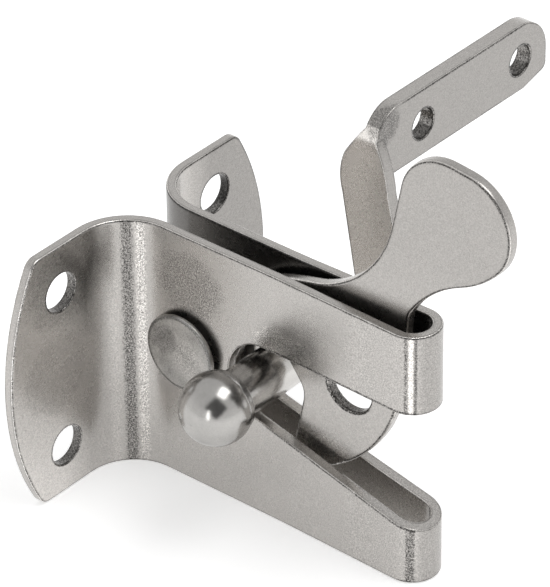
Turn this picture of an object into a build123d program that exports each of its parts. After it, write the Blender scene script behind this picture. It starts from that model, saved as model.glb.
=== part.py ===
from build123d import *
import os

# Gate latch. X across the latch, the near wall at minus X. The noses point to minus Y.
# The back of the flanges is the plane Y = 0. Z is up, from the centre of the four screw holes.

# Folded strip of the latch
strip_t = 2.5
strip_height = 67.2
strip_edge_r = 0.45
wall_gap = 6.8
nose_inner_r = 4.2
flare_y = -49.5
nose_front_y = -90.5
flange_bend_inner_r = 12.5
flange_reach = 44.6
flange_side_r = 66.5
flange_corner_r = 3.5
flange_hole_d = 10.0
flange_hole_x = 27.0
flange_hole_z = 21.3

# Mouth for the striker pin
mouth_y = -44.78
mouth_z = 2.56
mouth_r = 10.4
mouth_ramp = 13.6

# Striker pin
pin_r = 6.0
pin_y = -42.5
pin_z = 2.75
ball_r = 8.8
ball_x = -19.7
ball_back = 2.5
groove_r = 7.1
groove_w = 0.5
collar_r = 7.75
collar_w = 1.75
collar_round = 0.45
pin_tenon_r = 4.5
pin_tail_r = 6.5
pin_tail_h = 2.0
pin_tail_round = 0.9
tenon_clearance = 0.02

# Pivot rivet and its washers
pivot_y = -21.38
pivot_z = 2.56
rivet_r = 5.0
rivet_head_r = 9.8
rivet_head_h = 1.3
rivet_head_round = 0.5
rivet_collar_r = 6.2
rivet_collar_h = 1.1
rivet_tail_r = 6.2
rivet_tail_h = 2.0
rivet_tail_round = 0.9
rivet_tail_relief = 0.4
wall_hole_clearance = 0.03
lever_bore_clearance = 0.06
washer_r = 8.0
washer_side_gap = 0.12

# Lever between the walls
lever_t = 3.0
lever_edge_r = 0.7
lever_rest_gap = 1.6
heel_r = 10.3
seat_back_y = -36.0
seat_back_r = 2.5
seat_front_y = -47.5
seat_front_r = 2.5
hook_lip_y = -53.3
hook_lip_z = 2.5
hook_lip_r = 6.0
hook_tip_y = -48.7
hook_tip_z = -19.6
hook_tip_r = 4.0
front_low_y = -81.4
front_low_z = 16.0
front_top_y = -83.4
front_top_z = 35.6
front_top_r = 4.0
throat_r = 31.2
neck_meet_y = -97.9
neck_meet_z = 48.9
paddle_front_y = -98.0
paddle_front_z = 65.3
paddle_front_r = 13.4
paddle_back_y = -93.5
paddle_back_z = 66.5
paddle_back_r = 12.7
neck_back_y = -75.0
neck_back_z = 47.95
nape_rise = 30.0
nape_r = 32.1
back_high_y = -57.3
back_mid_y = -49.8
back_mid_z = 31.6
back_low_y = -41.5
back_low_z = 28.6
back_low_r = 15.0
lock_hole_d = 12.8
lock_hole_y = -66.4
lock_hole_z = 9.1

# Striker bracket
arm_near_x = 40.0
strap_t = 4.0
arm_t = 3.2
arm_front_lean = 13.0
arm_back_lean = 9.5
eye_r = 7.8
strap_front_y = -40.5
strap_top_z = 50.3
strap_bottom_z = 32.5
strap_end_x = 104.4
strap_hole_d = 8.0
strap_hole_x1 = 57.6
strap_hole_x2 = 94.4
strap_hole_z = 40.8
strap_heel_r = 9.0
strap_end_top_r = 10.0
strap_end_bottom_r = 2.0
strap_cut_x = 8.6
strap_cut_z = 2.2
arm_front_z = 30.0
arm_back_z = 27.0
arm_front_mid_y = -42.8
arm_front_mid_z = 37.6
arm_front_top_z = 43.6
shoulder_y = -29.9
shoulder_z = 32.4
shoulder_top_y = -31.4
shoulder_top_z = 38.5
hollow_y = -33.7
hollow_z = 42.0
arm_top_z = 46.0

# Sizes that follow
wall_in = wall_gap / 2
wall_out = wall_in + strip_t
nose_outer_r = nose_inner_r + strip_t
nose_y = nose_front_y + nose_outer_r
nose_mid = Vector(1, -1).normalized()
flange_blank_x = flange_reach + strip_t
bend_x = wall_out + flange_bend_inner_r
bend_y = -strip_t - flange_bend_inner_r
washer_t = (wall_gap - lever_t) / 2 - 2 * washer_side_gap
collar_x = ball_x + ball_back + groove_w
seat_z = pin_z + pin_r + lever_rest_gap
pivot = Vector(pivot_y, pivot_z)
pin_axis = Vector(pin_y, pin_z)
paddle_front = Vector(paddle_front_y, paddle_front_z)
paddle_back = Vector(paddle_back_y, paddle_back_z)
nape = Vector(neck_back_y, neck_back_z) + Vector(nape_r, 0).rotate(Axis.Z, nape_rise)
back_low = Vector(back_low_y, back_low_z)


def cosine(value):
    """Unit vector whose angle from the first axis has this cosine."""
    return Vector(value, (1 - value**2) ** 0.5)


def touch(centre, point, radius, side=-1):
    """Where a line from the point touches the circle, clockwise or, with side 1, the other way."""
    span = point - centre
    opening = Vector(1, 0).get_angle(cosine(radius / span.length))
    return centre + span.normalized().rotate(Axis.Z, side * opening) * radius


os.makedirs("parts", exist_ok=True)

# Latch body, one strip folded round the two noses and out into the flanges
with BuildPart() as latch_body:
    with BuildSketch(Plane.XY) as strip_plan:
        with BuildLine():
            # Each wall leaves the nose round at the point where the line to its flare touches it
            turn_out = touch(Vector(0, nose_y), Vector(wall_out, flare_y), nose_outer_r)
            turn_in = touch(Vector(0, nose_y), Vector(wall_in, flare_y), nose_inner_r)
            ThreePointArc((0, nose_front_y), Vector(0, nose_y) + nose_mid * nose_outer_r, turn_out)
            Polyline(turn_out, (wall_out, flare_y), (wall_out, bend_y))
            RadiusArc((wall_out, bend_y), (bend_x, -strip_t), flange_bend_inner_r)
            Polyline((bend_x, -strip_t), (flange_blank_x, -strip_t), (flange_blank_x, 0), (bend_x, 0))
            RadiusArc((bend_x, 0), (wall_in, bend_y), -flange_bend_inner_r - strip_t)
            Polyline((wall_in, bend_y), (wall_in, flare_y), turn_in)
            ThreePointArc(turn_in, Vector(0, nose_y) + nose_mid * nose_inner_r, (0, nose_front_y + strip_t))
            Line((0, nose_front_y + strip_t), (0, nose_front_y))
        make_face()
        mirror(about=Plane.YZ)
    extrude(amount=strip_height, both=True)
    with BuildSketch(Plane.XZ) as strip_front:
        with BuildLine():
            side_dx = flange_side_r - (flange_side_r**2 - (strip_height / 2) ** 2) ** 0.5
            corner_x = flange_reach - side_dx
            corner = Vector(corner_x, strip_height / 2)
            rim = ThreePointArc((corner_x, -strip_height / 2), (flange_reach, 0), corner)
            Polyline(corner, (0, strip_height / 2), (0, -strip_height / 2), rim @ 0)
        make_face()
        mirror(about=Plane.YZ)
        fillet(strip_front.vertices().filter_by(lambda v: abs(v.X) > 1), flange_corner_r)
    extrude(amount=-nose_front_y + strip_t, both=True, mode=Mode.INTERSECT)
    with BuildSketch(Plane.YZ) as mouth:
        with BuildLine():
            mouth_end_y = nose_front_y - strip_t
            ramp = Vector(-1, 0).rotate(Axis.Z, mouth_ramp)
            ramp_foot = Vector(mouth_y, mouth_z) + Vector(0, -mouth_r).rotate(Axis.Z, mouth_ramp)
            ramp_end = ramp_foot + ramp * ((mouth_end_y - ramp_foot.X) / ramp.X)
            roof = Line((mouth_end_y, mouth_z + mouth_r), (mouth_y, mouth_z + mouth_r))
            ThreePointArc(roof @ 1, (mouth_y + mouth_r, mouth_z), ramp_foot)
            Polyline(ramp_foot, ramp_end, roof @ 0)
        make_face()
    extrude(amount=wall_out + 1, both=True, mode=Mode.SUBTRACT)
    with Locations(Plane.XZ):
        with GridLocations(2 * flange_hole_x, 2 * flange_hole_z, 2, 2):
            Hole(flange_hole_d / 2)
    with Locations(Plane.YZ):
        with Locations((pivot_y, pivot_z)):
            Hole(rivet_r + wall_hole_clearance)
    # Long edges of the strip are rounded, and so on round the ends of the flanges
    rims = latch_body.edges().group_by(Axis.Z)[-1] + latch_body.edges().group_by(Axis.Z)[0]
    fillet(rims.filter_by(lambda e: e.length > strip_t + 0.01), strip_edge_r)
latch_body.part.label = "latch_body"
export_step(latch_body.part, "parts/latch_body.step")

# Lever, one flat plate from heel to paddle
with BuildPart() as catch_lever:
    with BuildSketch(Plane.YZ) as lever_outline:
        with BuildLine():
            # Top of the paddle touches both of its round ends
            ends = paddle_back - paddle_front
            ends_open = Vector(1, 0).get_angle(cosine((paddle_front_r - paddle_back_r) / ends.length))
            crown = ends.normalized().rotate(Axis.Z, ends_open)
            front_top = paddle_front + crown * paddle_front_r
            back_top = paddle_back + crown * paddle_back_r
            # Straight stretch between the nape and the paddle touches both rounds
            reach = paddle_back - nape
            nape_open = Vector(1, 0).get_angle(cosine((nape_r + paddle_back_r) / reach.length))
            nape_dir = reach.normalized().rotate(Axis.Z, nape_open)
            nape_top = nape + nape_dir * nape_r
            back_foot = paddle_back - nape_dir * paddle_back_r
            # Straight stretch from the back of the arm touches the heel
            heel_top = touch(pivot, back_low, heel_r)
            # Flat seat over the pin, between the heel and the slope on the inner side of the hook
            seat_back = Vector(seat_back_y, seat_z)
            heel_front = touch(pivot, seat_back, heel_r, side=1)
            heel_low = pivot + Vector(1, -1).normalized() * heel_r
            seat_front = Vector(seat_front_y, seat_z)
            hook_lip = Vector(hook_lip_y, hook_lip_z)
            nape_run = nape.X - back_high_y
            nape_low = nape - Vector(nape_run, (nape_r**2 - nape_run**2) ** 0.5)
            Line(back_top, front_top)
            ThreePointArc(back_top, paddle_back + crown.rotate(Axis.Z, -40) * paddle_back_r, back_foot)
            Line(back_foot, nape_top)
            RadiusArc(nape_top, nape_low, -nape_r)
            ThreePointArc(nape_low, (back_mid_y, back_mid_z), back_low)
            Line(back_low, heel_top)
            ThreePointArc(heel_top, heel_low, heel_front)
            Polyline(heel_front, seat_back, seat_front, hook_lip, (hook_tip_y, hook_tip_z))
            front = Line((front_low_y, front_low_z), (front_top_y, front_top_z))
            TangentArc((front_low_y, front_low_z), (hook_tip_y, hook_tip_z), tangent=front % 0 * -1)
            throat = RadiusArc(front @ 1, (neck_meet_y, neck_meet_z), -throat_r)
            # Chin runs on from the throat and touches the front round of the paddle
            to_meet = (throat @ 1) - paddle_front
            inward = (throat % 1).rotate(Axis.Z, -90)
            chin_r = (paddle_front_r**2 - to_meet.length**2) / (2 * (to_meet.dot(inward) + paddle_front_r))
            chin_centre = (throat @ 1) + inward * chin_r
            chin_end = paddle_front - (chin_centre - paddle_front).normalized() * paddle_front_r
            TangentArc(throat @ 1, chin_end, tangent=throat % 1)
            RadiusArc(chin_end, front_top, paddle_front_r)
        make_face()
        hook_tip = (hook_tip_y, hook_tip_z)
        throat_foot = (front_top_y, front_top_z)
        soft_corners = [(hook_tip, hook_tip_r), (hook_lip, hook_lip_r), (throat_foot, front_top_r)]
        soft_corners += [(back_low, back_low_r), (nape_low, back_low_r)]
        soft_corners += [(seat_back, seat_back_r), (seat_front, seat_front_r)]
        for corner, radius in soft_corners:
            fillet(lever_outline.vertices().sort_by_distance(corner)[0], radius)
        with Locations((lock_hole_y, lock_hole_z)):
            Circle(lock_hole_d / 2, mode=Mode.SUBTRACT)
    extrude(amount=lever_t / 2, both=True)
    fillet(catch_lever.faces().filter_by(Axis.X).edges(), lever_edge_r)
    with Locations(Plane.YZ):
        with Locations((pivot_y, pivot_z)):
            Hole(rivet_r + lever_bore_clearance)
catch_lever.part.label = "catch_lever"
export_step(catch_lever.part, "parts/catch_lever.step")

# Rivet that the lever turns on, its wide flat head on a low collar on the near wall
with BuildPart() as pivot_rivet:
    with BuildSketch(Plane.XY.offset(pivot_z)) as rivet_half:
        with Locations((-wall_out - rivet_collar_h - rivet_head_h, pivot_y)):
            Rectangle(rivet_head_h, rivet_head_r, align=(Align.MIN, Align.MIN))
        with Locations((-wall_out - rivet_collar_h, pivot_y)):
            Rectangle(rivet_collar_h, rivet_collar_r, align=(Align.MIN, Align.MIN))
        with Locations((-wall_out, pivot_y)):
            Rectangle(2 * wall_out, rivet_r, align=(Align.MIN, Align.MIN))
        with Locations((wall_out, pivot_y)):
            Rectangle(rivet_tail_h, rivet_tail_r, align=(Align.MIN, Align.MIN))
        head_rim = rivet_half.vertices().group_by(Axis.Y)[-1]
        fillet(head_rim, rivet_head_round)
        tail_rim = rivet_half.vertices().group_by(Axis.X)[-1].sort_by(Axis.Y)[-1]
        fillet(tail_rim, rivet_tail_round)
        tail_heel = rivet_half.vertices().sort_by_distance((wall_out, pivot_y + rivet_tail_r))[0]
        fillet(tail_heel, rivet_tail_relief)
    revolve(axis=Axis((0, pivot_y, pivot_z), (1, 0, 0)))
pivot_rivet.part.label = "pivot_rivet"
export_step(pivot_rivet.part, "parts/pivot_rivet.step")

# Washers that keep the lever in the middle of the slot
with BuildPart() as pivot_washer_near:
    with BuildSketch(Plane.YZ.offset(-wall_in + washer_side_gap)):
        with Locations((pivot_y, pivot_z)):
            Circle(washer_r)
            Circle(rivet_r + lever_bore_clearance, mode=Mode.SUBTRACT)
    extrude(amount=washer_t)
pivot_washer_near.part.label = "pivot_washer_near"
export_step(pivot_washer_near.part, "parts/pivot_washer_near.step")

with BuildPart() as pivot_washer_far:
    with BuildSketch(Plane.YZ.offset(wall_in - washer_side_gap - washer_t)):
        with Locations((pivot_y, pivot_z)):
            Circle(washer_r)
            Circle(rivet_r + lever_bore_clearance, mode=Mode.SUBTRACT)
    extrude(amount=washer_t)
pivot_washer_far.part.label = "pivot_washer_far"
export_step(pivot_washer_far.part, "parts/pivot_washer_far.step")

# Striker pin, a ball head cut flat behind, a groove, a collar and a round shank, riveted into the arm
with BuildPart() as striker_pin:
    with BuildSketch(Plane.XY.offset(pin_z)) as pin_half:
        with Locations((ball_x, pin_y)):
            Circle(ball_r)
        with Locations((ball_x + ball_back, pin_y)):
            Rectangle(ball_r, 2 * ball_r, align=(Align.MIN, Align.CENTER), mode=Mode.SUBTRACT)
        with Locations((ball_x + ball_back, pin_y)):
            Rectangle(groove_w, groove_r, align=(Align.MIN, Align.MIN))
        with Locations((collar_x, pin_y)):
            Rectangle(collar_w, collar_r, align=(Align.MIN, Align.MIN))
        fillet(pin_half.vertices().group_by(Axis.X)[-1].sort_by(Axis.Y)[-1], collar_round)
        with Locations((ball_x, pin_y)):
            Rectangle(arm_near_x - ball_x, pin_r, align=(Align.MIN, Align.MIN))
        with Locations((arm_near_x, pin_y)):
            Rectangle(arm_t, pin_tenon_r, align=(Align.MIN, Align.MIN))
        with Locations((arm_near_x + arm_t, pin_y)):
            Rectangle(pin_tail_h, pin_tail_r, align=(Align.MIN, Align.MIN))
        fillet(pin_half.vertices().sort_by(Axis.X)[-2:].sort_by(Axis.Y)[-1], pin_tail_round)
        with Locations((ball_x, pin_y)):
            Rectangle(4 * ball_r, 2 * ball_r, align=(Align.CENTER, Align.MAX), mode=Mode.SUBTRACT)
    revolve(axis=Axis((0, pin_y, pin_z), (1, 0, 0)))
striker_pin.part.label = "striker_pin"
export_step(striker_pin.part, "parts/striker_pin.step")

# Striker bracket, a strap with two screw holes and an arm at right angles that carries the pin
with BuildPart() as striker_bracket:
    with BuildSketch(Plane.YZ.offset(arm_near_x)) as arm_side:
        with BuildLine():
            front_out = Vector(-1, 0).rotate(Axis.Z, -arm_front_lean)
            back_out = Vector(1, 0).rotate(Axis.Z, -arm_back_lean)
            front_up = Vector(0, 1).rotate(Axis.Z, -arm_front_lean)
            back_up = Vector(0, 1).rotate(Axis.Z, -arm_back_lean)
            eye_front = pin_axis + front_out * eye_r
            eye_back = pin_axis + back_out * eye_r
            front_end = eye_front + front_up * ((arm_front_z - eye_front.Y) / front_up.Y)
            back_end = eye_back + back_up * ((arm_back_z - eye_back.Y) / back_up.Y)
            shoulder_top = (shoulder_top_y, shoulder_top_z)
            ThreePointArc(eye_front, pin_axis - Vector(0, eye_r), eye_back)
            Line(eye_back, back_end)
            ThreePointArc(back_end, (shoulder_y, shoulder_z), shoulder_top)
            ThreePointArc(shoulder_top, (hollow_y, hollow_z), (strap_front_y + strap_t, arm_top_z))
            Line((strap_front_y + strap_t, arm_top_z), (strap_front_y, arm_top_z))
            Line((strap_front_y, arm_top_z), (strap_front_y, arm_front_top_z))
            ThreePointArc((strap_front_y, arm_front_top_z), (arm_front_mid_y, arm_front_mid_z), front_end)
            Line(front_end, eye_front)
        make_face()
        with Locations((pin_y, pin_z)):
            Circle(pin_tenon_r + tenon_clearance, mode=Mode.SUBTRACT)
    extrude(amount=arm_t)
    with BuildSketch(Plane.XZ.offset(-strap_front_y - strap_t)) as strap_front:
        with BuildLine():
            cut_high = (strap_end_x, strap_bottom_z + strap_cut_z)
            cut_low = (strap_end_x - strap_cut_x, strap_bottom_z)
            Polyline((arm_near_x, strap_top_z), (strap_end_x, strap_top_z), cut_high, cut_low)
            Polyline(cut_low, (arm_near_x, strap_bottom_z), (arm_near_x, strap_top_z))
        make_face()
        end_corners = strap_front.vertices().group_by(Axis.X)[-1].sort_by(Axis.Y)
        fillet(end_corners[0], strap_end_bottom_r)
        fillet(strap_front.vertices().group_by(Axis.X)[-1].sort_by(Axis.Y)[-1], strap_end_top_r)
    extrude(amount=strap_t)
    with BuildSketch(Plane.XZ) as heel_corner:
        with Locations((arm_near_x, strap_top_z)):
            Rectangle(2 * strap_heel_r, 2 * strap_heel_r)
        with Locations((arm_near_x + strap_heel_r, strap_top_z - strap_heel_r)):
            Circle(strap_heel_r, mode=Mode.SUBTRACT)
    extrude(amount=2 * -strap_front_y, mode=Mode.SUBTRACT)
    with Locations(Plane.XZ):
        with Locations((strap_hole_x1, strap_hole_z), (strap_hole_x2, strap_hole_z)):
            Hole(strap_hole_d / 2)
striker_bracket.part.label = "striker_bracket"
export_step(striker_bracket.part, "parts/striker_bracket.step")
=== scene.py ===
import math

import bpy
from bpy.props import FloatProperty, FloatVectorProperty, PointerProperty
from mathutils import Matrix, Vector


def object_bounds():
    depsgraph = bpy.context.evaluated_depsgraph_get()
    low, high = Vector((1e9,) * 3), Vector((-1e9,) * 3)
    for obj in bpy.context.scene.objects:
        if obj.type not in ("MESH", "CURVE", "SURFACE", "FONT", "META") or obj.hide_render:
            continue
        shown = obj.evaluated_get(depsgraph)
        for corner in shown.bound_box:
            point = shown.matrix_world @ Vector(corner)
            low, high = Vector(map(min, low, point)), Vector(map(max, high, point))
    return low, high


bl_info = {
    "name": "Gate Latch Finish",
    "version": (1, 0, 0),
    "blender": (4, 5, 0),
    "location": "View3D > Sidebar > Gate Latch",
    "description": "Satin and polished steel finishes for a folded gate latch, and a pale stage",
    "category": "Object",
}

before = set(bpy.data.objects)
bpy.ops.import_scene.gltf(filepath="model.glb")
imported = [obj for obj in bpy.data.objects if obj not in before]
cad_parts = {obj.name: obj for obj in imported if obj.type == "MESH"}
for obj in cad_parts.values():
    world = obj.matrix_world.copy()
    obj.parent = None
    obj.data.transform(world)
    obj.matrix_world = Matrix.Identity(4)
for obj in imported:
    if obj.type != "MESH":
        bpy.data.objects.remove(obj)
cad_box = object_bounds()

MM = 0.001

# Where the CAD solids have the features that the marks follow
PIVOT_Y, PIVOT_Z = -21.38 * MM, 2.56 * MM
FLANGE_START_X = 21 * MM
WALL_END_X, WALL_FRONT_Y, WALL_BACK_Y = 9 * MM, -83 * MM, -18 * MM
NOSE_START_Y = -70 * MM
MOUTH_SLOPE, MOUTH_FLOOR_Z, MOUTH_ROOF_Z = 0.242, 2.69 * MM, 12.96 * MM
MOUTH_FRONT_Y = -88 * MM
STRAP_TOP_Z = 50.3 * MM

DARKEST_MARK = 0.08
BOARD_DISTANCE, BOARD_GREY = 1.35, 0.13
FLOOR_REACH, FLOOR_GAP, FLOOR_LIFT = 6.0, 0.2 * MM, 0.42
STAGE_ROUGHNESS = 0.9
ZENITH_SHARE = 0.75


def hole_pattern(middle, spacing, axis, radius):
    """Values of a pattern of like holes, given in millimetres.

    The holes stand this far either side of the middle, and go through along the axis."""
    return {"Middle": Vector(middle) * MM, "Spacing": Vector(spacing) * MM,
            "Axis": Vector(axis), "Radius": radius * MM}


FLANGE_HOLES = hole_pattern(middle=(0, 0, 0), spacing=(27, 0, 21.3), axis=(0, 1, 0), radius=5)
STRAP_HOLES = hole_pattern(middle=(76, 0, 40.8), spacing=(18.4, 0, 0), axis=(0, 1, 0), radius=4)
LOCK_HOLE = hole_pattern(middle=(0, -66.4, 9.1), spacing=(0, 0, 0), axis=(1, 0, 0), radius=6.4)


def colour_choice(name, description, default):
    """A colour that the user can change."""
    return FloatVectorProperty(name=name, description=description, subtype="COLOR",
                               size=3, min=0, max=1, default=default)


class SteelFinish(bpy.types.PropertyGroup):
    """Colours and grain of the steel pieces."""
    body: colour_choice("Latch body", "Colour of the folded strip", (0.475, 0.457, 0.437))
    lever: colour_choice("Lever", "Colour of the catch lever", (0.475, 0.457, 0.437))
    bracket: colour_choice("Bracket", "Colour of the striker bracket", (0.475, 0.457, 0.437))
    rivet: colour_choice("Rivet", "Colour of the pivot rivet and its washers", (0.41, 0.4, 0.385))
    pin: colour_choice("Striker pin", "Colour of the striker pin", (0.43, 0.42, 0.405))
    satin: FloatProperty(name="Satin", description="Roughness of the folded and cut pieces",
                         default=0.27, min=0, max=1, subtype="FACTOR")
    polish: FloatProperty(name="Polish", description="Roughness of the striker pin",
                          default=0.2, min=0, max=1, subtype="FACTOR")
    dull: FloatProperty(name="Dull", description="Roughness of the rivet",
                        default=0.32, min=0, max=1, subtype="FACTOR")
    grain: FloatProperty(name="Grain", description="Width of one grain of the tumbled finish",
                         default=0.33 * MM, min=0.05 * MM, max=5 * MM, unit="LENGTH", precision=5)
    grain_depth: FloatProperty(name="Grain depth", description="Depth of the tumbled grain",
                               default=0.012 * MM, min=0, max=MM, unit="LENGTH", precision=6)
    speckle: FloatProperty(name="Speckle",
                           description="How far one grain differs in tone from the next",
                           default=0.17, min=0, max=1, subtype="FACTOR")
    # Darkens the bands along the folds and noses: coarser grain there, with painted dark reflection
    fold_grain_and_shade: FloatProperty(name="Fold grain",
                              description="How much darker the steel is along its folds",
                              default=0.45, min=0, max=1, subtype="FACTOR")
    # Darkens the painted dark reflections on the near flange
    patch_shade: FloatProperty(name="Stain",
                         description="How much darker the smudges left by tumbling are",
                         default=0.35, min=0, max=1, subtype="FACTOR")
    # Rim shine brightens the rims as a painted highlight, partly rubbed bright by tumbling
    rim_shine: FloatProperty(name="Rim shine", description="How much brighter the rubbed rims are",
                             default=0.5, min=0, max=2)
    soft_edge: FloatProperty(name="Soft edge",
                             description="Radius at which cut edges catch the light",
                             default=0.8 * MM, min=0, max=2 * MM, unit="LENGTH", precision=5)


class StageLight(bpy.types.PropertyGroup):
    """Where the camera stands, and how bright the stage is."""
    azimuth: FloatProperty(name="Azimuth", description="Turn of the camera round the object",
                           default=math.radians(-49.609), subtype="ANGLE")
    elevation: FloatProperty(name="Elevation", description="Height of the camera above the horizon",
                             default=math.radians(33.484), subtype="ANGLE")
    roll: FloatProperty(name="Roll", description="Tilt of the camera about its own line of sight",
                        default=math.radians(0.694), subtype="ANGLE")
    place: FloatVectorProperty(name="Place", description="Where the camera stands", size=3,
                               default=(-0.7355, -0.6694, 0.6631),
                               subtype="TRANSLATION", unit="LENGTH")
    lens: FloatProperty(name="Lens", description="Focal length, in millimetres on a 36 mm sensor",
                        default=313.2, min=10, max=1000)
    floor: colour_choice("Floor", "Colour of the floor", (0.92, 0.92, 0.92))
    sky: FloatProperty(name="Sky", description="Brightness of the pale surroundings",
                       default=1.0, min=0, max=4)
    board: FloatProperty(name="Board", description="Diagonal of the dark board behind the camera",
                         default=1.8, min=0, max=4, unit="LENGTH")
    top_lamp: FloatProperty(name="Top lamp", description="Power of the lamp above, in watts",
                            default=2.2, min=0, max=100)
    side_lamp: FloatProperty(name="Side lamp",
                             description="Power of the upright lamp at the left, in watts",
                             default=0.7, min=0, max=100)


# Nodes and sums on them

def add_node(tree, kind, values=(), **settings):
    """A node with its settings, and the values or links of its inputs by name or number."""
    node = tree.nodes.new(kind)
    for name, value in settings.items():
        setattr(node, name, value)
    for socket, value in dict(values).items():
        if isinstance(value, bpy.types.NodeSocket):
            tree.links.new(value, node.inputs[socket])
        else:
            node.inputs[socket].default_value = value
    return node


def maths(tree, operation, *values, clamp=False):
    """Result of one sum on sockets and numbers."""
    return add_node(tree, "ShaderNodeMath", dict(enumerate(values)),
                    operation=operation, use_clamp=clamp).outputs[0]


def vectors(tree, operation, *values):
    """Result of one sum on vectors: a vector, or a number for a length or a dot product."""
    node = add_node(tree, "ShaderNodeVectorMath", dict(enumerate(values)), operation=operation)
    return node.outputs["Value" if operation in ("LENGTH", "DOT_PRODUCT") else "Vector"]


def times(tree, *values):
    """Product of sockets and numbers."""
    product = values[0]
    for value in values[1:]:
        product = maths(tree, "MULTIPLY", product, value)
    return product


def size_of(tree, value):
    """The value without its sign."""
    return maths(tree, "ABSOLUTE", value)


def both_ways(tree, first, second):
    """Length of a line that goes this far along two directions at right angles."""
    squares = maths(tree, "ADD", times(tree, first, first), times(tree, second, second))
    return maths(tree, "SQRT", squares)


def ramp(tree, value, start, end, low=0.0, high=1.0):
    """Goes from low to high while the value goes from start to end."""
    values = {"Value": value, "From Min": start, "From Max": end, "To Min": low, "To Max": high}
    return add_node(tree, "ShaderNodeMapRange", values).outputs["Result"]


def above(tree, value, bound, soft):
    """1 where the value is above the bound, with a soft side."""
    return ramp(tree, value, bound - soft, bound + soft)


def below(tree, value, bound, soft):
    """1 where the value is below the bound, with a soft side."""
    return ramp(tree, value, bound - soft, bound + soft, low=1.0, high=0.0)


def between(tree, value, low, high, soft):
    """1 where the value lies between two bounds, with soft sides."""
    return times(tree, above(tree, value, low, soft), below(tree, value, high, soft))


def noise(tree, place, scale, detail, roughness):
    """Cloudy noise from 0 to 1, about 0.5 in the middle."""
    values = {"Vector": place, "Scale": scale, "Detail": detail, "Roughness": roughness}
    return add_node(tree, "ShaderNodeTexNoise", values).outputs["Fac"]


def along_axes(tree, vector):
    """A vector as its x, y and z."""
    return add_node(tree, "ShaderNodeSeparateXYZ", {0: vector}).outputs


def place_on(tree):
    """Place on the object, as x, y and z."""
    return along_axes(tree, add_node(tree, "ShaderNodeTexCoord").outputs["Object"])


def facing_of(tree):
    """Direction that the surface faces, as x, y and z."""
    return along_axes(tree, add_node(tree, "ShaderNodeTexCoord").outputs["Normal"])


# Effects: each fills a node group and gives its outputs by name

def tumbled_steel(tree, given):
    """Grain, faint mottling and rims with a painted highlight, partly rubbed bright, of tumbled
    steel: a tone, a roughness and a normal.
    """
    place = add_node(tree, "ShaderNodeTexCoord").outputs["Object"]
    per_metre = maths(tree, "DIVIDE", 1.0, given["Grain Size"])
    fine = noise(tree, place, scale=per_metre, detail=2.0, roughness=0.7)
    broad = noise(tree, place, scale=210.0, detail=4.0, roughness=0.65)
    soft = add_node(tree, "ShaderNodeBevel", {"Radius": given["Edge"]}, samples=8).outputs["Normal"]
    bumped = add_node(tree, "ShaderNodeBump",
                      {"Strength": 1.0, "Distance": given["Grain Depth"],
                       "Height": fine, "Normal": soft})
    # Rims are where the softened normal leaves the face's own
    flat = add_node(tree, "ShaderNodeNewGeometry").outputs["Normal"]
    along = vectors(tree, "DOT_PRODUCT", soft, flat)
    rim = ramp(tree, along, start=0.95, end=0.82)
    dots = ramp(tree, fine, start=0.3, end=0.7, low=-1.0, high=1.0)
    speckled = maths(tree, "MULTIPLY_ADD", dots, given["Speckle"], 1.0)
    cloud = maths(tree, "SUBTRACT", broad, 0.5)
    clouded = maths(tree, "MULTIPLY_ADD", cloud, given["Mottle"], speckled)
    # Rim Shine paints a highlight on the rims, partly also rubbed bright
    lit = times(tree, clouded, maths(tree, "MULTIPLY_ADD", rim, given["Rim Shine"], 1.0))
    # A broken dark line runs beside the rim
    beside = times(tree, ramp(tree, along, start=0.999, end=0.975),
                   maths(tree, "SUBTRACT", 1.0, rim))
    line = times(tree, beside, ramp(tree, broad, start=0.42, end=0.58, low=0.2, high=0.8))
    return {"Tone": times(tree, lit, maths(tree, "SUBTRACT", 1.0, line)),
            "Roughness": maths(tree, "MULTIPLY_ADD", cloud, 0.12, given["Roughness"]),
            "Normal": bumped.outputs["Normal"],
            "Grain": dots}


def tone_mark(tree, given):
    """One mark over the tone so far: its own tone inside its mask, with the grain showing in it."""
    inside = maths(tree, "MULTIPLY_ADD", given["Grain"], given["Coarse"],
                   maths(tree, "SUBTRACT", given["Mark"], 1.0))
    share = maths(tree, "MULTIPLY_ADD", given["Mask"], inside, 1.0)
    return {"Tone": times(tree, given["Tone"], maths(tree, "MAXIMUM", share, DARKEST_MARK))}


def fold_band(tree, given):
    """Mask of a ragged band along an upright fold, between two turns away from the walls."""
    where = add_node(tree, "ShaderNodeTexCoord")
    facing = along_axes(tree, where.outputs["Normal"])
    turn = maths(tree, "ARCTAN2", size_of(tree, facing["Y"]), size_of(tree, facing["X"]))
    per_metre = maths(tree, "DIVIDE", 0.7, given["Grain Size"])
    cloud = noise(tree, where.outputs["Object"], scale=per_metre, detail=3.0, roughness=0.7)
    ragged = maths(tree, "MULTIPLY_ADD", maths(tree, "SUBTRACT", cloud, 0.5), given["Ragged"], turn)
    inside = maths(tree, "MINIMUM", maths(tree, "SUBTRACT", ragged, given["From"]),
                   maths(tree, "SUBTRACT", given["To"], ragged))
    mask = maths(tree, "DIVIDE", inside, given["Soft"], clamp=True)
    upright = ramp(tree, size_of(tree, facing["Z"]), start=0.2, end=0.5, low=1.0, high=0.0)
    return {"Mask": times(tree, mask, upright)}


def ragged_patch(tree, given):
    """Mask of a ragged patch of this middle and reach."""
    place = add_node(tree, "ShaderNodeTexCoord").outputs["Object"]
    off = vectors(tree, "SUBTRACT", place, given["Middle"])
    share = vectors(tree, "DIVIDE", off, given["Reach"])
    cloud = maths(tree, "SUBTRACT", noise(tree, place, scale=420.0, detail=6.0, roughness=0.8), 0.5)
    ragged = maths(tree, "MULTIPLY_ADD", cloud, given["Ragged"], vectors(tree, "LENGTH", share))
    inside = maths(tree, "SUBTRACT", 1.0, ragged)
    return {"Mask": maths(tree, "DIVIDE", inside, given["Soft"], clamp=True)}


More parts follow.
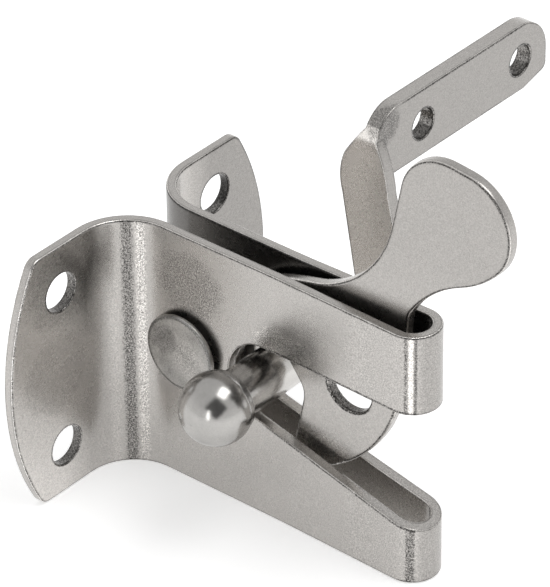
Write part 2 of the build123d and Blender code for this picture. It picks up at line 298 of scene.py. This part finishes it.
def hole_edges(tree, given):
    """Masks of the bores of a pattern of holes, and of a narrow ring round each on the face."""
    where = add_node(tree, "ShaderNodeTexCoord")
    off = vectors(tree, "SUBTRACT", where.outputs["Object"], given["Middle"])
    from_hole = vectors(tree, "SUBTRACT", vectors(tree, "ABSOLUTE", off), given["Spacing"])
    flat = vectors(tree, "MULTIPLY", from_hole,
                   vectors(tree, "SUBTRACT", (1.0, 1.0, 1.0), given["Axis"]))
    past = maths(tree, "SUBTRACT", vectors(tree, "LENGTH", flat), given["Radius"])
    square = size_of(tree, vectors(tree, "DOT_PRODUCT", where.outputs["Normal"], given["Axis"]))
    near = below(tree, past, 0.6 * MM, soft=0.1 * MM)
    return {"Bore": times(tree, maths(tree, "LESS_THAN", square, 0.6), near),
            "Ring": between(tree, past, -0.1 * MM, 0.4 * MM, soft=0.06 * MM)}


def rubbed_edge_glint(tree, given):
    """Masks of a painted highlight on the crest of a rounded edge, partly rubbed bright, and of a
    fine dark line beside it on the face.

    Across is how far the surface faces along the thickness: 1 on the faces, 0 on the cut edges."""
    return {"Crest": between(tree, given["Across"], 0.33, 0.66, soft=0.05),
            "Line": between(tree, given["Across"], 0.74, 0.98, soft=0.012)}


def ruled_edge(tree, given):
    """Mask of a fine line along a sharp straight edge, by the distance inside it."""
    return {"Line": times(tree, given["Where"],
                          between(tree, given["Inside"], 0.08 * MM, 0.6 * MM, soft=0.06 * MM))}


# Name of each node group: its inputs with their defaults, and what fills it
GROUPS = {
    "tumbled_steel": ({"Roughness": 0.2, "Grain Size": 0.5 * MM, "Grain Depth": 0.012 * MM,
                       "Edge": 0.45 * MM, "Mottle": 0.05, "Speckle": 0.08, "Rim Shine": 0.5},
                      tumbled_steel),
    "tone_mark": ({"Tone": 1.0, "Mask": 0.0, "Mark": 1.0, "Coarse": 0.0, "Grain": 0.0}, tone_mark),
    "fold_band": ({"From": 0.3, "To": 0.8, "Soft": 0.05, "Ragged": 0.1, "Grain Size": 0.5 * MM},
                  fold_band),
    "ragged_patch": ({"Middle": (0.0, 0.0, 0.0), "Reach": (0.01, 0.01, 0.01), "Ragged": 0.5, "Soft": 0.3},
               ragged_patch),
    "hole_edges": ({"Middle": (0.0, 0.0, 0.0), "Spacing": (0.0, 0.0, 0.0), "Axis": (0.0, 1.0, 0.0),
                    "Radius": 5 * MM}, hole_edges),
    "rubbed_edge_glint": ({"Across": 1.0}, rubbed_edge_glint),
    "ruled_edge": ({"Inside": 0.0, "Where": 1.0}, ruled_edge),
}


def place_group(tree, name, values):
    """Places a node group, built at its first use, with its own values, and gives its outputs."""
    group = bpy.data.node_groups.get(name) or build_group(name, *GROUPS[name])
    return add_node(tree, "ShaderNodeGroup", values, node_tree=group).outputs


def build_group(name, inputs, fill):
    """A shader node group with these inputs, and the outputs that its function gives."""
    group = bpy.data.node_groups.new(name, "ShaderNodeTree")
    for label, default in inputs.items():
        kind = "NodeSocketVector" if isinstance(default, tuple) else "NodeSocketFloat"
        socket = group.interface.new_socket(label, in_out="INPUT", socket_type=kind)
        socket.default_value = default
    made = fill(group, group.nodes.new("NodeGroupInput").outputs)
    for label, value in made.items():
        kind = "NodeSocketVector" if value.type == "VECTOR" else "NodeSocketFloat"
        group.interface.new_socket(label, in_out="OUTPUT", socket_type=kind)
    end = group.nodes.new("NodeGroupOutput")
    for label, value in made.items():
        group.links.new(value, end.inputs[label])
    return group


# Effects placed with values in millimetres and degrees

def band(tree, start, end, soft=3.0, ragged=10.0):
    """Mask of a band along the folds, with its turns in degrees."""
    turns = {"From": start, "To": end, "Soft": soft, "Ragged": ragged}
    values = {label: math.radians(turn) for label, turn in turns.items()}
    values["Grain Size"] = bpy.context.scene.steel_finish.grain
    return place_group(tree, "fold_band", values)["Mask"]


def spot(tree, middle, reach, ragged=0.5, soft=0.3):
    """Mask of a ragged patch, with its middle and reach in millimetres."""
    return place_group(tree, "ragged_patch", {"Middle": Vector(middle) * MM, "Reach": Vector(reach) * MM,
                                        "Ragged": ragged, "Soft": soft})["Mask"]


def mark(mask, tone, coarse=0.0):
    """A mark on the steel: its tone against the plain steel, and how strongly grain shows in it."""
    return {"Mask": mask, "Mark": tone, "Coarse": coarse}


def hole_marks(tree, holes, tone):
    """Darker bores as painted shade, and a broken dark ring round each hole."""
    edges = place_group(tree, "hole_edges", holes)
    return [mark(edges["Bore"], tone), mark(edges["Ring"], tone=0.5, coarse=0.6)]


def edge_marks(tree, across):
    """Painted highlight on the crest of the rounded edges, partly rubbed bright, and a broken dark
    line beside it.
    """
    edge = place_group(tree, "rubbed_edge_glint", {"Across": across})
    return [mark(edge["Crest"], tone=1.5, coarse=0.4), mark(edge["Line"], tone=0.32, coarse=0.6)]


def line_mark(tree, inside, where):
    """Broken dark line along a sharp straight edge."""
    edge = place_group(tree, "ruled_edge", {"Inside": inside, "Where": where})
    return mark(edge["Line"], tone=0.4, coarse=0.75)


# Marks on each piece

def body_across(tree, place, facing):
    """How far the surface of the strip faces along its thickness.

    The thickness runs along Y in the flanges, along X in the walls, and turns between them."""
    sideways, out = size_of(tree, facing["X"]), size_of(tree, facing["Y"])
    reach = size_of(tree, place["X"])
    flange = maths(tree, "GREATER_THAN", reach, FLANGE_START_X)
    wall = times(tree, between(tree, place["Y"], WALL_FRONT_Y, WALL_BACK_Y, 0.01 * MM),
                 maths(tree, "LESS_THAN", reach, WALL_END_X))
    folded = maths(tree, "SUBTRACT", maths(tree, "SUBTRACT", 1.0, flange), wall)
    straight = maths(tree, "MULTIPLY_ADD", flange, out, times(tree, wall, sideways))
    return maths(tree, "ADD", straight, times(tree, folded, both_ways(tree, sideways, out)))


def body_marks(tree):
    """Coarse grain with painted highlights and dark reflections on the folds and noses, painted
    reflections and shade on the flanges and walls, and painted shade and light in the slots.
    """
    finish = bpy.context.scene.steel_finish
    dark, patch_shade = 1 - finish.fold_grain_and_shade, 1 - finish.patch_shade
    place, facing = place_on(tree), facing_of(tree)
    x, y, z = place
    from_middle = times(tree, x, facing["X"])
    outer = maths(tree, "GREATER_THAN", from_middle, 0.0)
    front = below(tree, facing["Y"], -0.4, 0.2)
    upper, lower = above(tree, z, 0.0, 1 * MM), below(tree, z, 0.0, 1 * MM)

    # Bends between the walls and the flanges: a dark band of coarser grain with painted dark
    # reflection, and two painted highlight bands, the first brighter upwards
    bend = times(tree, above(tree, y, WALL_BACK_Y, 1 * MM), outer)
    higher = maths(tree, "MULTIPLY_ADD", z, 9.0, 1.0)
    marks = [mark(times(tree, bend, band(tree, 33, 49, soft=4)), tone=dark * 0.9, coarse=0.55),
             mark(times(tree, bend, band(tree, 20, 33), higher), tone=1.22, coarse=0.75),
             mark(times(tree, bend, band(tree, 49, 66, soft=6)), tone=1.12, coarse=0.1)]

    # Noses, where the strip turns back at the front: a painted highlight band between painted dark
    # reflection bands above, a painted dark band below, painted shade on the faces that look
    # forward, and coarser grain all over
    nose = below(tree, y, NOSE_START_Y, 2 * MM)
    high, low = times(tree, nose, upper), times(tree, nose, lower)
    before = band(tree, 20, 28, soft=2, ragged=12)
    bright = band(tree, 29, 39, soft=1.5, ragged=8)
    behind = band(tree, 40, 47, soft=1.5, ragged=6)
    marks += [mark(times(tree, high, before), tone=dark, coarse=0.5),
              mark(times(tree, high, bright), tone=1.9, coarse=0.6),
              mark(times(tree, high, behind), tone=dark * 0.8, coarse=0.3),
              mark(times(tree, low, band(tree, 24, 44, soft=2)), tone=dark * 0.9, coarse=0.6),
              mark(times(tree, nose, below(tree, facing["Y"], -0.8, 0.08)), tone=0.78),
              mark(nose, tone=1.0, coarse=0.16)]

    # Painted reflections and shade on the near flange, the near wall and the far flange: dark
    # reflected patches by the hole and mid flange, a painted shadow behind the rivet, painted
    # reflections of the pin above and before the mouth, the near flange lit brighter and the far
    # flange painted in shade
    by_hole = spot(tree, middle=(-26, -2.5, 22), reach=(14, 9, 11))
    mid_flange = spot(tree, middle=(-30, -2.5, 0), reach=(11, 9, 11), ragged=0.4, soft=0.15)
    behind_rivet = spot(tree, middle=(-6, -23, 21), reach=(4, 11, 10), ragged=0.7)
    above_pin = spot(tree, middle=(-8, -51, 15.5), reach=(5, 10, 5), ragged=1.4)
    before_pin = spot(tree, middle=(-8, -60, 21), reach=(5, 8, 8), ragged=0.8, soft=0.7)
    near_flange = below(tree, x, -23.5 * MM, 5 * MM)
    far_flange = above(tree, x, 22 * MM, 4 * MM)
    marks += [mark(times(tree, front, by_hole), tone=patch_shade * 1.2, coarse=0.2),
              mark(times(tree, front, mid_flange), tone=1 - 0.35 * finish.patch_shade, coarse=0.05),
              mark(times(tree, outer, behind_rivet), tone=0.76, coarse=0.5),
              mark(times(tree, outer, above_pin), tone=1.3, coarse=0.9),
              mark(times(tree, outer, before_pin), tone=1.25, coarse=0.1),
              mark(times(tree, front, near_flange), tone=1.4),
              mark(times(tree, front, far_flange), tone=0.66)]

    # Edges of the mouth, by the depth under its sloping floor and the height over its roof
    wall_face = times(tree, outer, maths(tree, "GREATER_THAN", size_of(tree, facing["X"]), 0.5))
    floor_z = maths(tree, "MULTIPLY_ADD", y, MOUTH_SLOPE, MOUTH_FLOOR_Z)
    under_floor = maths(tree, "SUBTRACT", floor_z, z)
    over_roof = maths(tree, "SUBTRACT", z, MOUTH_ROOF_Z)
    floor_line = times(tree, wall_face, between(tree, y, MOUTH_FRONT_Y, -45 * MM, 1 * MM))
    roof_line = times(tree, wall_face, between(tree, y, MOUTH_FRONT_Y, -46 * MM, 1 * MM))
    marks += [line_mark(tree, under_floor, floor_line),
              line_mark(tree, over_roof, roof_line),
              *hole_marks(tree, FLANGE_HOLES, tone=0.62),
              *edge_marks(tree, body_across(tree, place, facing))]

    # Inside of the slot, on the faces that look towards its middle: painted shade on the upper
    # inner face of the far wall, and the lower inner faces lit brighter as painted light
    inner = times(tree, below(tree, from_middle, -1.8 * MM, 0.4 * MM),
                  below(tree, size_of(tree, x), 4.5 * MM, 0.4 * MM))
    hollow = times(tree, maths(tree, "GREATER_THAN", x, 0.0), below(tree, facing["X"], -0.55, 0.15),
                   above(tree, z, 8 * MM, 12 * MM))
    return marks + [mark(hollow, tone=0.3), mark(times(tree, inner, lower), tone=1.15)]


def lever_marks(tree):
    """Painted highlights on the edges, partly rubbed bright, painted light on the foot of the hook
    in the shade by the wall, darker paddle, and painted shade in the padlock hole.
    """
    place, facing = place_on(tree), facing_of(tree)
    # The foot of the hook is lit brighter as painted light, where the lever sits in shade by the
    # wall
    foot = spot(tree, middle=(0, -58, -11), reach=(5, 11, 5), ragged=0.8)
    paddle = above(tree, place["Z"], 42 * MM, 12 * MM)
    return [*edge_marks(tree, size_of(tree, facing["X"])),
            mark(foot, tone=1.3, coarse=0.5),
            mark(paddle, tone=0.86),
            *hole_marks(tree, LOCK_HOLE, tone=0.7)]


def bracket_marks(tree):
    """Arm lit paler as painted light, strap front and heel darkened as painted shade, a line along
    the strap's top, and painted shade in the screw holes.
    """
    place, facing = place_on(tree), facing_of(tree)
    arm = maths(tree, "LESS_THAN", facing["X"], -0.8)
    front = below(tree, facing["Y"], -0.5, 0.2)
    heel = spot(tree, middle=(44, -40, 47), reach=(5, 4, 6), ragged=1.4)
    under_top = maths(tree, "SUBTRACT", STRAP_TOP_Z, place["Z"])
    along = times(tree, front, between(tree, place["X"], 50 * MM, 96 * MM, 2 * MM))
    return [mark(arm, tone=1.8, coarse=0.05),
            mark(front, tone=0.7),
            mark(heel, tone=0.6, coarse=0.35),
            line_mark(tree, under_top, along),
            *hole_marks(tree, STRAP_HOLES, tone=0.55)]


def rivet_marks(tree):
    """Dark border, side lit pale as painted light, a paler patch and dark spots of the rivet's
    head.
    """
    place, facing = place_on(tree), facing_of(tree)
    away = both_ways(tree, maths(tree, "SUBTRACT", place["Y"], PIVOT_Y),
                     maths(tree, "SUBTRACT", place["Z"], PIVOT_Z))
    border = between(tree, away, 8.9 * MM, 9.6 * MM, 0.2 * MM)
    side = maths(tree, "LESS_THAN", size_of(tree, facing["X"]), 0.5)
    paler_patch = spot(tree, middle=(-9, -24, 2), reach=(4, 6, 6), ragged=1.6, soft=0.8)
    spots = spot(tree, middle=(-9, -17, 5), reach=(4, 6, 5), ragged=1.8, soft=0.6)
    return [mark(border, tone=0.6, coarse=0.3),
            mark(side, tone=1.5),
            mark(paler_patch, tone=1.3, coarse=0.5),
            mark(spots, tone=0.7, coarse=0.2)]


def pin_marks(tree):
    """Shank lit paler as painted light, and painted dark reflections by the collar and on the ball.
    """
    shank = between(tree, place_on(tree)["X"], -13 * MM, 50 * MM, 2 * MM)
    collar = spot(tree, middle=(-7, -42, 7), reach=(6, 9, 4), ragged=2.0, soft=0.8)
    ball = spot(tree, middle=(-20, -48, -4), reach=(5, 8, 3), ragged=2.4, soft=0.5)
    return [mark(shank, tone=1.35),
            mark(collar, tone=0.75, coarse=0.3),
            mark(ball, tone=0.75, coarse=0.1)]


def steel_material(name, colour, roughness, marks, mottle=0.1, speckle=1.0, depth=1.0):
    """Steel of this colour with the tumbled grain, and with marks over its tone."""
    finish = bpy.context.scene.steel_finish
    material = bpy.data.materials.new(name)
    material.use_nodes = True
    tree = material.node_tree
    steel = place_group(tree, "tumbled_steel",
                        {"Roughness": roughness, "Grain Size": finish.grain,
                         "Grain Depth": finish.grain_depth * depth, "Edge": finish.soft_edge,
                         "Mottle": mottle, "Speckle": finish.speckle * speckle,
                         "Rim Shine": finish.rim_shine})
    tone = steel["Tone"]
    for values in marks(tree):
        under = {"Tone": tone, "Grain": steel["Grain"]}
        tone = place_group(tree, "tone_mark", {**under, **values})["Tone"]
    tint = add_node(tree, "ShaderNodeMix", {"Factor": 1.0, "A": (*colour, 1.0), "B": tone},
                    data_type="RGBA", blend_type="MULTIPLY")
    shader = tree.nodes["Principled BSDF"]
    shader.inputs["Metallic"].default_value = 1.0
    for label, value in (("Base Color", tint.outputs["Result"]), ("Roughness", steel["Roughness"]),
                         ("Normal", steel["Normal"])):
        tree.links.new(value, shader.inputs[label])
    return material


def dress(material, *nodes):
    """Puts one material on CAD nodes."""
    for name in nodes:
        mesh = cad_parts[name].data
        mesh.materials.clear()
        mesh.materials.append(material)


class LATCH_OT_body(bpy.types.Operator):
    """Finish the folded latch body in satin steel"""
    bl_idname = "latch.body"
    bl_label = "Latch Body"

    def execute(self, context):
        finish = context.scene.steel_finish
        dress(steel_material("body_steel", finish.body, finish.satin, body_marks), "latch_body")
        return {"FINISHED"}


class LATCH_OT_lever(bpy.types.Operator):
    """Finish the catch lever in satin steel"""
    bl_idname = "latch.lever"
    bl_label = "Catch Lever"

    def execute(self, context):
        finish = context.scene.steel_finish
        dress(steel_material("lever_steel", finish.lever, finish.satin, lever_marks), "catch_lever")
        return {"FINISHED"}


class LATCH_OT_rivet(bpy.types.Operator):
    """Finish the pivot rivet and its two washers in dull steel"""
    bl_idname = "latch.rivet"
    bl_label = "Pivot Rivet and Washers"

    def execute(self, context):
        finish = context.scene.steel_finish
        rivet = steel_material("rivet_steel", finish.rivet, finish.dull, rivet_marks,
                               mottle=1.5, speckle=1.5, depth=1.5)
        dress(rivet, "pivot_rivet", "pivot_washer_near", "pivot_washer_far")
        return {"FINISHED"}


class LATCH_OT_pin(bpy.types.Operator):
    """Finish the striker pin in polished steel"""
    bl_idname = "latch.pin"
    bl_label = "Striker Pin"

    def execute(self, context):
        finish = context.scene.steel_finish
        pin = steel_material("pin_steel", finish.pin, finish.polish, pin_marks,
                             mottle=0.4, speckle=0.3, depth=0.5)
        dress(pin, "striker_pin")
        return {"FINISHED"}


class LATCH_OT_bracket(bpy.types.Operator):
    """Finish the striker bracket in satin steel"""
    bl_idname = "latch.bracket"
    bl_label = "Striker Bracket"

    def execute(self, context):
        finish = context.scene.steel_finish
        bracket = steel_material("bracket_steel", finish.bracket, finish.satin, bracket_marks)
        dress(bracket, "striker_bracket")
        return {"FINISHED"}


# Stage

def area_lamp(name, offset, width, height, power):
    """A lamp that stands this far from the middle of the object and is turned to it."""
    lamp = bpy.data.lights.new(name, "AREA")
    lamp.shape = "RECTANGLE"
    lamp.size, lamp.size_y, lamp.energy = width, height, power
    holder = bpy.data.objects.new(name, lamp)
    holder.location = middle_of_object() + Vector(offset)
    holder.rotation_euler = (-Vector(offset)).to_track_quat("-Z", "Y").to_euler()
    bpy.context.scene.collection.objects.link(holder)


def middle_of_object():
    """Middle of the CAD box."""
    return (cad_box[0] + cad_box[1]) / 2


def flat_panel(name, corners, material_name, colour):
    """A matt panel of the stage with these corners: its object and its material's node tree."""
    mesh = bpy.data.meshes.new(name)
    mesh.from_pydata(corners, [], [(0, 1, 2, 3)])
    panel = bpy.data.objects.new(name, mesh)
    bpy.context.scene.collection.objects.link(panel)
    material = bpy.data.materials.new(material_name)
    material.use_nodes = True
    shader = material.node_tree.nodes["Principled BSDF"]
    shader.inputs["Base Color"].default_value = (*colour, 1.0)
    shader.inputs["Roughness"].default_value = STAGE_ROUGHNESS
    mesh.materials.append(material)
    return panel, material.node_tree


class LATCH_OT_stage(bpy.types.Operator):
    """Build the pale floor, the surroundings, the lamps, the dark board and the camera"""
    bl_idname = "latch.stage"
    bl_label = "Stage"

    def execute(self, context):
        light = context.scene.stage_light
        self.floor(light)
        self.surroundings(context, light)
        area_lamp("top_lamp", (0.1, -0.3, 0.85), width=0.55, height=0.4, power=light.top_lamp)
        area_lamp("side_lamp", (-0.95, -0.26, 0.12), width=0.12, height=0.6, power=light.side_lamp)
        self.dark_board(light)
        self.camera(context, light)
        return {"FINISHED"}

    def dark_board(self, light):
        """A dark board behind the camera, standing on one corner, for the steel to mirror."""
        middle, half = middle_of_object(), light.board / 2
        back = (Vector(light.place) - middle).normalized()
        side = back.cross(Vector((0.0, 0.0, 1.0))).normalized()
        up = side.cross(back)
        centre = middle + back * BOARD_DISTANCE
        corners = [centre + side * half, centre + up * half,
                   centre - side * half, centre - up * half]
        board, _ = flat_panel("dark_board", corners, "board_grey", [BOARD_GREY] * 3)
        board.visible_camera = False

    def floor(self, light):
        """A pale floor, as bright in reflections as in the picture, that shows the shadow."""
        low = cad_box[0].z - FLOOR_GAP
        corners = [(x * FLOOR_REACH, y * FLOOR_REACH, low)
                   for x, y in ((-1, -1), (1, -1), (1, 1), (-1, 1))]
        floor, tree = flat_panel("floor", corners, "floor_white", light.floor)
        shader = tree.nodes["Principled BSDF"]
        shader.inputs["Specular IOR Level"].default_value = 0.1
        shader.inputs["Emission Color"].default_value = (1.0, 1.0, 1.0, 1.0)
        path = add_node(tree, "ShaderNodeLightPath").outputs
        mirrored = maths(tree, "ADD", path["Is Glossy Ray"], path["Is Transmission Ray"])
        seen = maths(tree, "ADD", path["Is Camera Ray"], mirrored, clamp=True)
        tree.links.new(times(tree, seen, FLOOR_LIFT), shader.inputs["Emission Strength"])
        # Seen from below, the floor lets the light through
        clear = add_node(tree, "ShaderNodeBsdfTransparent")
        side = add_node(tree, "ShaderNodeNewGeometry")
        mix = add_node(tree, "ShaderNodeMixShader",
                       {0: side.outputs["Backfacing"], 1: shader.outputs[0], 2: clear.outputs[0]})
        tree.links.new(mix.outputs[0], tree.nodes["Material Output"].inputs["Surface"])

    def surroundings(self, context, light):
        """Pale surroundings, a little darker overhead than at the horizon."""
        world = bpy.data.worlds.new("surroundings")
        context.scene.world = world
        world.use_nodes = True
        tree = world.node_tree
        direction = add_node(tree, "ShaderNodeTexCoord").outputs["Generated"]
        rise = add_node(tree, "ShaderNodeMapRange",
                        {"Value": along_axes(tree, direction)["Z"],
                         "From Min": 0.0, "From Max": 0.8,
                         "To Min": light.sky, "To Max": light.sky * ZENITH_SHARE},
                        interpolation_type="SMOOTHSTEP")
        background = tree.nodes["Background"]
        background.inputs["Color"].default_value = (1.0, 1.0, 1.0, 1.0)
        tree.links.new(rise.outputs[0], background.inputs["Strength"])

    def camera(self, context, light):
        """The camera at the photograph's place and angle."""
        turn, rise, roll = light.azimuth, light.elevation, light.roll
        back = Vector((math.sin(turn) * math.cos(rise), -math.cos(turn) * math.cos(rise),
                       math.sin(rise)))
        right = Vector((math.cos(turn), math.sin(turn), 0.0))
        up = back.cross(right)
        right, up = (right * math.cos(roll) - up * math.sin(roll),
                     up * math.cos(roll) + right * math.sin(roll))
        lens = bpy.data.cameras.new("camera")
        lens.sensor_width, lens.lens = 36.0, light.lens
        lens.clip_start, lens.clip_end = 0.05, 20.0
        camera = bpy.data.objects.new("camera", lens)
        turned = Matrix((right, up, back)).transposed().to_4x4()
        camera.matrix_world = Matrix.Translation(light.place) @ turned
        context.scene.collection.objects.link(camera)
        context.scene.camera = camera


class LATCH_PT_panel(bpy.types.Panel):
    """Sizes, colours and pieces of the gate latch"""
    bl_label = "Gate Latch"
    bl_idname = "LATCH_PT_panel"
    bl_space_type = "VIEW_3D"
    bl_region_type = "UI"
    bl_category = "Gate Latch"

    def draw(self, context):
        for group in (context.scene.steel_finish, context.scene.stage_light):
            box = self.layout.box()
            for name in group.__annotations__:
                box.prop(group, name)
        for operator in PIECES:
            self.layout.operator(operator.bl_idname)


PIECES = (LATCH_OT_body, LATCH_OT_lever, LATCH_OT_rivet, LATCH_OT_pin, LATCH_OT_bracket,
          LATCH_OT_stage)
CLASSES = (SteelFinish, StageLight, *PIECES, LATCH_PT_panel)


def register():
    for item in CLASSES:
        bpy.utils.register_class(item)
    bpy.types.Scene.steel_finish = PointerProperty(type=SteelFinish)
    bpy.types.Scene.stage_light = PointerProperty(type=StageLight)


def unregister():
    del bpy.types.Scene.stage_light
    del bpy.types.Scene.steel_finish
    for item in reversed(CLASSES):
        bpy.utils.unregister_class(item)


def main():
    """Makes every piece and the stage."""
    register()
    bpy.context.scene.view_settings.view_transform = "Standard"
    for operator in PIECES:
        family, name = operator.bl_idname.split(".")
        getattr(getattr(bpy.ops, family), name)()


if __name__ == "__main__":
    main()
